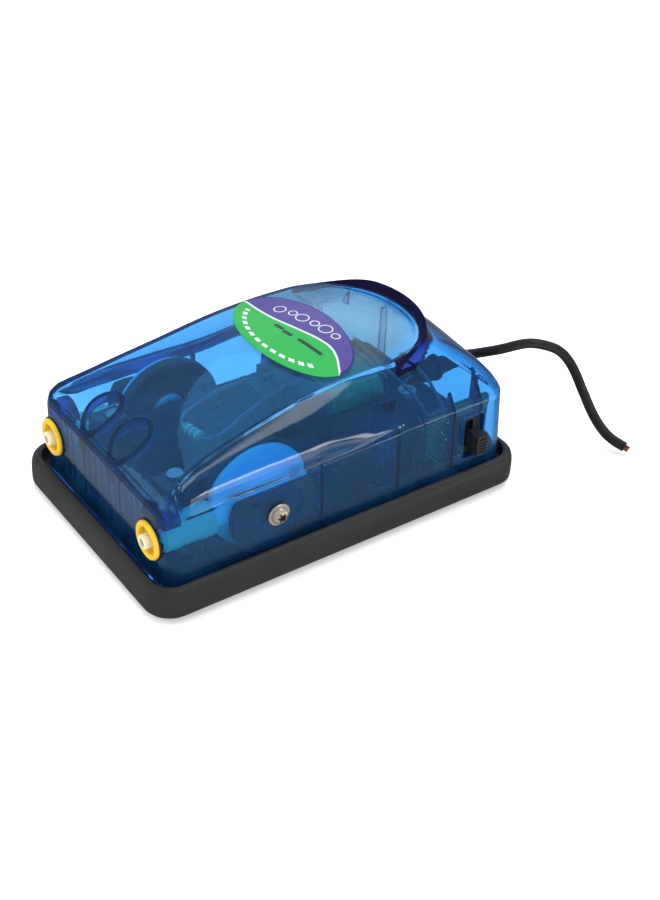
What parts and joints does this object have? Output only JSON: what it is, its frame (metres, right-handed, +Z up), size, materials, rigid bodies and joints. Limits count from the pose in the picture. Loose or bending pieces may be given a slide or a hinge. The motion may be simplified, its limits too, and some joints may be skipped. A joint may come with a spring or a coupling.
{
  "type": "aquarium air pump",
  "caption": "Electromagnetic diaphragm air pump with two hose outlets, a clear domed cover on a rectangular base tray, a slide for air flow and a power cord.",
  "frame": {"origin": "centre of the resting face of the front left foot, on the resting plane (the middle of the footprint is at X 37 mm, Y 64 mm)", "axes": "+Z up; -Y towards the two outlets (front); +Y towards the power cord (rear); +X from the left foot towards the side with the air-flow slide"},
  "size_m": [0.1054, 0.1954, 0.0599],
  "materials": {
    "black_base": "fine satin moulded",
    "black_rubber": "matt",
    "zinc_steel": "plated",
    "grey_felt": "matt",
    "blue_clear": "clear tinted plastic, glossy",
    "label_print": "printed film, two colours",
    "yellow_plastic": "satin",
    "ivory_plastic": "satin",
    "nickel_steel": "bright plated",
    "white_plastic": "smooth",
    "grey_plastic": "smooth",
    "black_plastic": "satin",
    "arm_plastic": "satin",
    "ferrite": "ground ferrite",
    "core_steel": "varnished laminations",
    "copper_wire": "enamelled",
    "green_tape": "film tape",
    "green_board": "solder mask",
    "brown_capacitor": "dipped",
    "green_ceramic": "coated",
    "blue_wire": "insulation",
    "black_cord": "soft sheath",
    "brown_wire": "insulation"
  },
  "bodies": {
    "housing": {"base_tray": "black_base", "rubber_feet": "black_rubber", "base_screws": "zinc_steel", "intake_felt": "grey_felt", "top_cover": "blue_clear", "label_sticker": "label_print", "outlet_seals": "black_rubber", "outlet_ring_left": "yellow_plastic", "outlet_ring_right": "yellow_plastic", "outlet_nozzle_left": "ivory_plastic", "outlet_nozzle_right": "ivory_plastic", "side_screws": "nickel_steel", "side_washers": "nickel_steel", "mount_pad_left": "black_rubber", "mount_pad_right": "black_rubber", "pump_chamber_left": "white_plastic", "pump_chamber_right": "white_plastic", "valve_plate_left": "grey_plastic", "valve_plate_right": "grey_plastic", "diaphragm_left": "black_rubber", "diaphragm_right": "black_rubber", "clamp_ring_left": "black_plastic", "clamp_ring_right": "black_plastic", "pivot_bracket_left": "zinc_steel", "pivot_bracket_right": "zinc_steel", "pivot_pin_left": "zinc_steel", "pivot_pin_right": "zinc_steel", "core_laminations": "core_steel", "core_screws": "zinc_steel", "coil_bobbin": "white_plastic", "coil_winding": "copper_wire", "coil_tape": "green_tape", "circuit_board": "green_board", "board_diodes": "black_plastic", "board_capacitor": "brown_capacitor", "flow_switch_body": "black_plastic", "inline_resistor": "green_ceramic", "lead_wires": "blue_wire", "cord_grommet": "black_rubber", "power_cord": "black_cord", "cord_cores": "brown_wire"},
    "arm_left": {"swing_arm_left": "arm_plastic", "arm_magnet_left": "ferrite", "diaphragm_plates_left": "white_plastic", "diaphragm_screw_left": "zinc_steel"},
    "arm_right": {"swing_arm_right": "arm_plastic", "arm_magnet_right": "ferrite", "diaphragm_plates_right": "white_plastic", "diaphragm_screw_right": "zinc_steel"},
    "knob": {"flow_knob": "black_plastic"},
    "inlet_valve_left": {"inlet_flap_left": "black_rubber"},
    "inlet_valve_right": {"inlet_flap_right": "black_rubber"},
    "outlet_valve_left": {"outlet_flap_left": "black_rubber"},
    "outlet_valve_right": {"outlet_flap_right": "black_rubber"}
  },
  "joints": [
    {"name": "arm_right_swing", "type": "hinge", "parent": "housing", "child": "arm_right", "pos_m": [0.057, 0.012, 0.024], "axis": [0, 0, 1], "range_deg": [-2, 2], "deforming": ["diaphragm_right"]},
    {"name": "arm_left_swing", "type": "hinge", "parent": "housing", "child": "arm_left", "pos_m": [0.017, 0.012, 0.024], "axis": [0, 0, 1], "range_deg": [-2, 2], "deforming": ["diaphragm_left"]},
    {"name": "flow_slide", "type": "slide", "parent": "housing", "child": "knob", "axis": [0, 0, 1], "range_m": [-0.002, 0.004]},
    {"name": "outlet_flap_right_lift", "type": "hinge", "parent": "housing", "child": "outlet_valve_right", "pos_m": [0.07025, 0.0268, 0.024], "axis": [0, 0, -1], "range_deg": [0, 10]},
    {"name": "outlet_flap_left_lift", "type": "hinge", "parent": "housing", "child": "outlet_valve_left", "pos_m": [0.00375, 0.0268, 0.024], "axis": [0, 0, 1], "range_deg": [0, 10]},
    {"name": "inlet_flap_right_lift", "type": "hinge", "parent": "housing", "child": "inlet_valve_right", "pos_m": [0.06875, 0.0454, 0.024], "axis": [0, 0, -1], "range_deg": [0, 6]},
    {"name": "inlet_flap_left_lift", "type": "hinge", "parent": "housing", "child": "inlet_valve_left", "pos_m": [0.00525, 0.0454, 0.024], "axis": [0, 0, 1], "range_deg": [0, 6]}
  ],
  "couplings": [
    {"joint": "arm_left_swing", "follows": "arm_right_swing", "ratio": -1}
  ]
}
